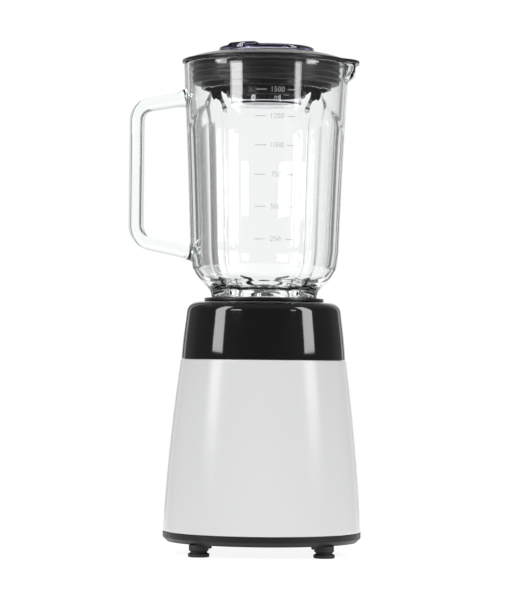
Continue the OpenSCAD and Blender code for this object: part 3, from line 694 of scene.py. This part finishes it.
def make_bezel():
    """A ring with a flat face whose back follows the shell."""
    shape = bmesh.new()
    steps = 144
    profile = [(17.0, BEZEL_FACE - 0.3), (17.3, BEZEL_FACE), (24.2, BEZEL_FACE),
               (24.7, BEZEL_FACE - 0.25), (24.95, BEZEL_FACE - 0.8)]
    rings = []
    for r, y in profile + [(24.95, None), (17.0, None)]:
        ring = []
        for k in range(steps):
            t = TURN * k / steps
            x, z = r * math.cos(t), KNOB_Z + r * math.sin(t)
            back = math.sqrt(shell_radius(z) ** 2 - x * x) + 0.06
            ring.append(shape.verts.new((x, -(y if y else min(back, BEZEL_FACE - 0.9)), z)))
        rings.append(ring)
    for a, b in zip(rings, rings[1:] + rings[:1]):
        for k in range(steps):
            n = (k + 1) % steps
            shape.faces.new((a[k], a[n], b[n], b[k]))
    finished("dial_bezel", mesh_from(shape, "dial_bezel"), "bezel", "base", ("knob_bezel",))
    marks = bmesh.new()
    for words, angle in DIAL_MARKS.items():
        t = math.radians(angle)
        letter = flat_text(words, 3.2, 0.3, "mark")
        place = Matrix.Translation((DIAL_R * math.sin(t), -BEZEL_FACE - 0.1,
                                    KNOB_Z + DIAL_R * math.cos(t)))
        bmesh.ops.transform(letter, matrix=place @ Matrix.Rotation(math.pi / 2, 4, "X"),
                            verts=letter.verts)
        merge(marks, letter)
    finished("dial_marks", mesh_from(marks, "dial_marks"), "black_matte", "base")


def make_knob():
    """A dished knob with a grip bar across it, and a pointer line that stands out of the bar."""
    radius = (KNOB_HIGH.x - KNOB_LOW.x) / 2
    front = -KNOB_LOW.y
    back = KNOB_BACK
    shape = bmesh.new()
    outline = rounded([(0, back - 3), (16.6, back - 3), (16.6, back), (radius, back, 0.5),
                       (radius, back + 4.6, 1.2), (14.5, back + 6, 1.5), (13.5, back + 8.5, 0.6),
                       (0, back + 8.5)], 5, False)
    add_lathe(shape, outline, 144)
    grip = rounded([(-4.6, -17.4, 3.5), (4.6, -17.4, 3.5), (4.6, 17.4, 3.5), (-4.6, 17.4, 3.5)], 6)
    add_prism(shape, grip, back + 2, front - GRIP_DROP, None, 0.9)
    bmesh.ops.transform(shape, matrix=toward_front(KNOB_Z), verts=shape.verts)
    finished("speed_knob", mesh_from(shape, "speed_knob"), "knob_plastic", "knob", ("knob",))
    line = bmesh.new()
    stroke = rounded([(-0.7, 8.2, 0.5), (0.7, 8.2, 0.5), (0.7, 16.4, 0.5), (-0.7, 16.4, 0.5)], 4)
    add_prism(line, stroke, front - 1.0, front - 0.02, toward_front(KNOB_Z), 0.1)
    finished("pointer_line", mesh_from(line, "pointer_line"), "pointer_white", "knob",
             ("knob_pointer",))


# ---------------------------------------------------------------- glass jar

LID_LOW, LID_HIGH = box_mm("lid")
RING_LOW, RING_HIGH = box_mm("jar_base_ring")
RIM_R = 68.0
BAND_R = 67.4
RIM_Z = box_mm("glass_jar")[1].z
GLASS = 4.8
NECK_R = 40.0
NECK_HOLE_R = 33.0
SPOUT_REACH = 6.6
LOBE_DEPTH = 4.4
GROOVE_DEPTH = 1.5
GROOVE_FLOOR = math.radians(3.6)
GROOVE_EDGE = math.radians(9.5)
VALLEY = math.radians(52)


def rounding(share, start=0.2, full=0.53, easing=0.8):
    """0 at a lobe's middle, 1 at its edge: flat, then turning to one slope, then easing off."""
    total = (full - start) / 2 + easing - full + (1 - easing) / 2
    steep = max(0.0, min(share, full) - start)
    even = max(0.0, min(share, easing) - full)
    last = max(0.0, share - easing)
    turned = steep * steep / (full - start) / 2 + even
    return (turned + last - last * last / (1 - easing) / 2) / total


def lobe_depth(angle):
    """How far the lobed side lies inside a plain cone, and how much of that is groove."""
    fold = abs((angle + math.pi) % TURN - math.pi)
    fold = min(fold, math.pi - fold) if abs(fold - math.pi / 2) > math.pi / 2 - VALLEY else fold
    if fold <= VALLEY:
        across, width = fold, VALLEY
    else:
        across, width = abs(fold - math.pi / 2), math.pi / 2 - VALLEY
    lobe = LOBE_DEPTH * rounding(across / width)
    slope = (GROOVE_EDGE - (width - across)) / (GROOVE_EDGE - GROOVE_FLOOR)
    groove = GROOVE_DEPTH * max(0.0, min(1.0, slope))
    return lobe, groove


def side_inset(angle, z, outside=True):
    """How deep the wall is pressed in at a height. The grooves run out in points at both
    ends, and leave a round rim. The inside follows them only in part."""
    lobe, groove = lobe_depth(angle)
    full = LOBE_DEPTH + GROOVE_DEPTH
    level = full * max(1 - smoothstep(209, 226, z), smoothstep(345, 382, z))
    pressed = max(0.0, lobe + groove - level)
    share = 0.55
    return pressed if outside else share * min(pressed, lobe) + 0.3 * max(0.0, pressed - lobe)


def spout(angle, z):
    """How far the pouring beak stands out of the rim."""
    off = abs((angle % TURN) - math.pi)
    shape = 1 - smoothstep(math.radians(3), math.radians(17), off)
    rise = 0.9 * smoothstep(388.5, 393.5, z) + 0.1 * smoothstep(393, RIM_Z, z)
    return SPOUT_REACH * shape * rise


OUTER_LINE = divided(rounded([(NECK_R, 189.8), (NECK_R, 210.2), (43.4, 210.3, 0.9),
                              (44.6, 216.2, 3.0), (47.6, 219.4)], 5, False), 2.0)
OUTER_LINE += divided(bulge((47.6, 219.4), (59.6, 234.8), 1.2, 14), 2.0)[1:]
OUTER_LINE += divided([(59.6, 234.8), (60.6, 241.0), (61.5, 248.2)], 2.5)[1:]
OUTER_LINE += divided(bulge((61.5, 248.2), (BAND_R, 384.0), -0.35, 30), 3.0)[1:]
# The band under the rim widens evenly. Its points are close where the spout begins.
BAND_FOOT_Z = 384.0
BAND_TOP_Z = 401.0
for z in (386, 387.5, 389, 390, 391, 392, 393, 395, 398, 401):
    share = (z - BAND_FOOT_Z) / (BAND_TOP_Z - BAND_FOOT_Z)
    OUTER_LINE.append(Vector((BAND_R + (RIM_R - BAND_R) * share, z)))


def inside_of(line, thickness):
    """The same line moved in by a thickness, from its last point back to its first."""
    moved = []
    for i, point in enumerate(line):
        along = (line[min(i + 1, len(line) - 1)] - line[max(i - 1, 0)]).normalized()
        moved.append(point + thickness * Vector((-along.y, along.x)))
    return moved[::-1]


WALL_FOOT = next(i for i, point in enumerate(OUTER_LINE) if point.y > 219.5)
INNER_LINE = inside_of(OUTER_LINE[WALL_FOOT:], GLASS)
INNER_LINE += divided(rounded([(42.0, 219.6), (38.0, 218.0, 4.0), (NECK_HOLE_R, 217.4, 0.6),
                               (NECK_HOLE_R, 189.8)], 6, False), 2.5)


RIM_ROUNDING = 2.1
RIM_STEPS = 6


def jar_outline():
    outside, inside = (RIM_R, RIM_Z), (RIM_R - GLASS, RIM_Z)
    rim = corner((RIM_R, BAND_TOP_Z), outside, inside, RIM_ROUNDING, RIM_STEPS)
    lip = corner(outside, inside, (RIM_R - GLASS, BAND_TOP_Z), RIM_ROUNDING, RIM_STEPS)
    return OUTER_LINE + rim + lip + INNER_LINE


def jar_surface(r, z, angle, outside):
    """A point of the lobed jar, from its plain outline point."""
    if outside:
        return r - side_inset(angle, z) + spout(angle, z)
    return r - side_inset(angle, z, False) + spout(angle, z) * smoothstep(389, 398, z)


def handle_path():
    bend = 15.0
    points = [(65.2, 374.9), (106.2, 368.2, bend), (106.2, 257.4, bend), (58.9, 247.4)]
    return divided(rounded(points, 16, False), 3.0)


def handle_ring(centre, along, scale):
    """One section of the handle: a rounded bar, wider from side to side than it is thick."""
    thick, wide = 6.3 * scale, 8.5 * scale
    across = Vector((-along.y, along.x))
    ring = []
    for k in range(48):
        t = TURN * k / 48
        c, s = math.cos(t), math.sin(t)
        a = thick * math.copysign(abs(c) ** 0.8, c)
        b = wide * math.copysign(abs(s) ** 0.8, s)
        ring.append((centre.x + across.x * a, b, centre.y + across.y * a))
    return ring


def add_handle(shape):
    path = handle_path()
    lengths = [0.0]
    for a, b in zip(path, path[1:]):
        lengths.append(lengths[-1] + (b - a).length)
    rings = []
    for i, centre in enumerate(path):
        along = (path[min(i + 1, len(path) - 1)] - path[max(i - 1, 0)]).normalized()
        from_wall = min(lengths[i], lengths[-1] - lengths[i]) - 2.4
        scale = 1.0 + 0.2 * math.exp(-max(0.0, from_wall) / 2.2)
        rings.append([shape.verts.new(p) for p in handle_ring(centre, along, scale)])
    for a, b in zip(rings, rings[1:]):
        for k in range(len(a)):
            n = (k + 1) % len(a)
            shape.faces.new((a[k], a[n], b[n], b[k]))
    shape.faces.new(rings[0])
    shape.faces.new(rings[-1])


VOLUME_MARKS = [(1500, 376.6), (1250, 355.3), (1000, 331.9), (750, 308.4), (500, 282.7),
                (250, 256.5)]
MARK_ANGLE = math.radians(97.9)


def make_marks():
    """Raised volume marks that follow the jar's wall on the side of the machine's back."""
    shape = bmesh.new()
    for volume, z in VOLUME_MARKS:
        merge(shape, mark_at(flat_text(str(volume), 4.1, 0.5, "mark"), z))
        if volume == VOLUME_MARKS[0][0]:
            merge(shape, mark_at(flat_text("ml", 3.9, 0.5, "mark"), z - 6.2))
        for start, length in ((-17.5, 9.0), (8.5, 6.5)):
            dash = bmesh.new()
            outline = rounded([(start, -0.35, 0.3), (start + length, -0.35, 0.3),
                               (start + length, 0.35, 0.3), (start, 0.35, 0.3)], 3)
            add_prism(dash, [(p.x, p.y) for p in divided(outline + outline[:1], 1.0)[:-1]],
                      -0.25, 0.25)
            merge(shape, mark_at(dash, z))
    finished("volume_marks", mesh_from(shape, "volume_marks"), "glass_marks", "jar",
             slot="jar_glass")


def mark_at(flat, z):
    """Wraps flat lettering, in the XY plane, on to the jar's outside at a height."""
    for vert in flat.verts:
        height = z + vert.co.y
        radius = outer_radius(height)
        angle = MARK_ANGLE + vert.co.x / radius
        out = jar_surface(radius, height, angle, True) + 0.12 + vert.co.z
        vert.co = (out * math.cos(angle), out * math.sin(angle), height)
    return flat


def outer_radius(z):
    """The jar's plain outer radius at a height."""
    for a, b in zip(OUTER_LINE, OUTER_LINE[1:]):
        if a.y <= z <= b.y and b.y > a.y:
            return a.x + (b.x - a.x) * (z - a.y) / (b.y - a.y)
    return RIM_R


def make_jar():
    outline = jar_outline()
    turn_back = len(OUTER_LINE) + RIM_STEPS + 1

    def move(r, z, angle, index):
        return jar_surface(r, z, angle, index < turn_back), z

    piece = lathe("glass_jug", outline, "jar_glass", "jar", ("glass_jar",), 376, move, sharp=50)
    handle = bmesh.new()
    add_handle(handle)
    combine(piece, loose("jug_handle", handle), "UNION")
    piece.data.shade_smooth()
    piece.data.set_sharp_from_angle(angle=math.radians(50))


# ---------------------------------------------------------------- blade unit

def make_base_ring():
    outline = rounded([(34, RING_LOW.z), (45.8, RING_LOW.z, 1.0), (45.8, 206.6, 0.8),
                       (49.2, 207.2, 0.8), (49.2, RING_HIGH.z, 1.0), (40.5, RING_HIGH.z, 0.5),
                       (40.5, 185.0), (34, 185.0, 0.5)], 6)
    piece = lathe("jar_ring", outline, "ring_plastic", "jar", ("jar_base_ring",), 200)
    notches = bmesh.new()
    for k in range(4):
        turned = Matrix.Rotation(math.pi / 4 + k * math.pi / 2, 4, "Z")
        notch = [(41.2, -5), (48, -5), (48, 5), (41.2, 5)]
        add_prism(notches, notch, SEAT_Z - 1, SEAT_Z + 9, turned)
    combine(piece, loose("notches", notches), "DIFFERENCE")


def make_blade_base():
    low, high = box_mm("blade_base")
    outline = rounded([(7, high.z), (7, 197.5), (18.5, 197.5, 1), (22, 193.5, 1), (26, low.z),
                       (39.8, low.z, 0.4), (39.8, 187, 0.4), (32.4, 187), (32.4, 189.5, 1.0)],
                      5, False)
    outline += bulge((32.2, 190.4), (13, 210.2), 3.4, 16)
    outline += rounded([(12, 211), (10.2, 211.6, 0.8), (8.8, 212.6, 0.8), (8.8, high.z, 0.5),
                        (7, high.z)], 5, False)[1:-1]
    lathe("blade_carrier", outline, "blade_base_metal", "jar", ("blade_base",), 160)


BLADE_THICKNESS = 1.5
BLADE_REACH = 20.5
# A wing's section, from its back to its ground front edge, as shares of width and thickness.
WING_SECTION = [(0.0, 0.9), (0.06, 1.0), (0.5, 1.0), (0.68, 0.95), (0.9, 0.4), (1.0, 0.12)]


def add_wing(shape, width, thickness, rise, turned):
    """A wing that sweeps up or down from the hub in one curve, with a ground front edge."""
    root = 6.0
    rows = []
    for i in range(21):
        share = i / 20
        x = root + (BLADE_REACH - root) * share
        z = thickness / 2 + rise * share ** 1.6
        back = -width / 2 + width * 0.12 * share
        front = width / 2 - width * (0.5 * share ** 1.5 + 0.22 * max(0.0, share - 0.8) / 0.2)
        row = []
        for across, full in WING_SECTION:
            row.append((x, back + (front - back) * across, z, full * thickness / 2))
        rows.append(row)
    top, bottom = [], []
    for row in rows:
        top.append([shape.verts.new(turned @ Vector((x, y, z + half))) for x, y, z, half in row])
        bottom.append([shape.verts.new(turned @ Vector((x, y, z - half))) for x, y, z, half in row])
    last = len(top[0]) - 1
    for i in range(len(rows) - 1):
        for k in range(last):
            for side in (top, bottom):
                shape.faces.new((side[i][k], side[i + 1][k], side[i + 1][k + 1], side[i][k + 1]))
        for k in (0, last):
            shape.faces.new((top[i][k], bottom[i][k], bottom[i + 1][k], top[i + 1][k]))
    for i in (0, len(rows) - 1):
        for k in range(last):
            shape.faces.new((top[i][k], top[i][k + 1], bottom[i][k + 1], bottom[i][k]))


def make_blade(name, node, width, angle, upward):
    low, high = box_mm(node)
    base = low.z if upward else high.z - BLADE_THICKNESS
    rise = high.z - low.z - BLADE_THICKNESS - 0.4
    shape = bmesh.new()
    half = width / 2
    hub = rounded([(-7, -half, 1), (7, -half, 1), (7, half, 1), (-7, half, 1)], 4)
    lifted = Matrix.Translation((0, 0, base)) @ Matrix.Rotation(angle, 4, "Z")
    add_prism(shape, divided(hub + hub[:1], 2.0)[:-1], 0, BLADE_THICKNESS, lifted, 0.12)
    for turn in (0, math.pi):
        add_wing(shape, width - 0.5, BLADE_THICKNESS - 0.1, rise if upward else -rise,
                 lifted @ Matrix.Rotation(turn, 4, "Z") @ Matrix.Translation((0, 0, 0.05)))
    finished(name, mesh_from(shape, name), "blade_steel", "blades", (node,), sharp=30)


# ---------------------------------------------------------------- lid, seal and cup

CUP_LOW, CUP_HIGH = box_mm("measuring_cup")
LID_R = LID_HIGH.x
LID_FOOT_Z = RIM_Z + 0.3
SEAL_LOW, SEAL_HIGH = box_mm("lid_seal")
PLUG_Z = SEAL_LOW.z - 4.0
LID_EDGE_Z = LID_FOOT_Z + 2.8
TONGUE_END = -LID_LOW.x


def tongue(angle):
    """The lid's outer radius, with the tongue that covers the beak."""
    off = abs((angle % TURN) - math.pi)
    wide = TONGUE_END / math.cos(min(off, 0.6))
    return LID_R + (wide - LID_R) * (1 - smoothstep(math.radians(5), math.radians(27), off))


def make_lid():
    outline = rounded([(51, PLUG_Z, 0.6), (53.6, PLUG_Z, 0.6), (53.6, LID_FOOT_Z, 0.5),
                       (LID_R, LID_FOOT_Z, 0.9), (LID_R, LID_EDGE_Z, 1.4), (66.6, LID_EDGE_Z, 0.5),
                       (65.6, LID_EDGE_Z + 0.6)], 6, False)
    outline += bulge((65.2, LID_EDGE_Z + 0.7), (41.4, LID_HIGH.z), 0.8, 14)
    outline += rounded([(41, LID_HIGH.z), (30.5, LID_HIGH.z, 0.7), (30.5, LID_LOW.z, 0.6),
                        (32.7, LID_LOW.z, 0.6), (32.7, 409.8, 1.2), (39.2, 409.8),
                        (50, 405.4, 3), (51, 400)], 6, False)[1:]

    def move(r, z, angle, index):
        share = smoothstep(60.0, LID_R, r) if z <= LID_EDGE_Z + 0.01 else 0.0
        return r + (tongue(angle) - LID_R) * share, z

    lathe("black_lid", outline, "lid_plastic", "lid", ("lid",), 288, move)


def make_seal():
    rib_r = SEAL_HIGH.x - 1.6
    body_r = rib_r - 1.0
    points = [(53.9, SEAL_LOW.z), (body_r, SEAL_LOW.z, 0.6)]
    for z in (389, 394, 399):
        points += [(body_r, z), (rib_r, z + 0.9, 0.8), (rib_r, z + 1.8, 0.8), (body_r, z + 2.7)]
    points += [(body_r, SEAL_HIGH.z), (53.9, SEAL_HIGH.z)]
    lathe("ribbed_seal", rounded(points, 5), "seal_rubber", "lid", ("lid_seal",), 200)


def make_cup():
    """A cup with a flange over the lid, which rises to two finger tabs."""
    flange_z = LID_HIGH.z + 0.3
    top_z = flange_z + 4.4
    cup_r = 29.7
    flange_r = CUP_HIGH.x
    outer = bulge((0.001, CUP_LOW.z), (cup_r - 2.2, CUP_LOW.z + 2.1), 0.35, 12)
    outer[0] = Vector((0, CUP_LOW.z))
    outer += rounded([(cup_r - 2.2, CUP_LOW.z + 2.1), (cup_r - 0.6, CUP_LOW.z + 2.5, 0.8),
                      (cup_r, flange_z, 0.4), (flange_r, flange_z, 1.0), (flange_r, top_z, 1.7),
                      (cup_r + 2, top_z, 0.6), (cup_r - 0.4, top_z - 1.2, 1.0),
                      (cup_r - 1.7, top_z - 5, 2.0), (cup_r - 2.2, CUP_LOW.z + 4.2, 0.9),
                      (cup_r - 7.5, CUP_LOW.z + 3.4)], 7, False)[1:]
    outer += [Vector((cup_r - 15, CUP_LOW.z + 2.5)), Vector((0, CUP_LOW.z + 1.6))]
    tab_height = CUP_HIGH.z - top_z - 0.05

    def move(r, z, angle, index):
        off = abs((angle - math.radians(57) + math.pi / 2) % math.pi - math.pi / 2)
        rise = 1 - smoothstep(math.radians(17), math.radians(25), off)
        ring = smoothstep(cup_r + 1.4, cup_r + 3.0, r) * smoothstep(top_z - 2.2, top_z - 0.2, z)
        return r, z + tab_height * rise * ring

    lathe("clear_cup", divided(outer, 6.0), "clear_cup", "cup", ("measuring_cup",), 240, move)


# ---------------------------------------------------------------- CAD nodes that stay

def dress_nodes():
    """Gives every CAD node that still shows the material of its slot."""
    slots = {row["node"]: row["material_slot"] for row in frame["record"]["subparts"]}
    for name, node in frame["nodes"].items():
        node.data.materials.clear()
        node.data.materials.append(MATERIALS[slots[name]])


bpy.context.scene.view_settings.view_transform = "Standard"
make_camera()
make_world()
make_floor()
make_lights()
dress_nodes()
make_shell()
make_collar()
make_feet()
make_bezel()
make_knob()
make_jar()
make_marks()
make_base_ring()
make_blade_base()
make_blade("upper_cutter", "upper_blade", 11, math.radians(45), True)
make_blade("lower_cutter", "lower_blade", 10, math.radians(-45), False)
make_lid()
make_seal()
make_cup()
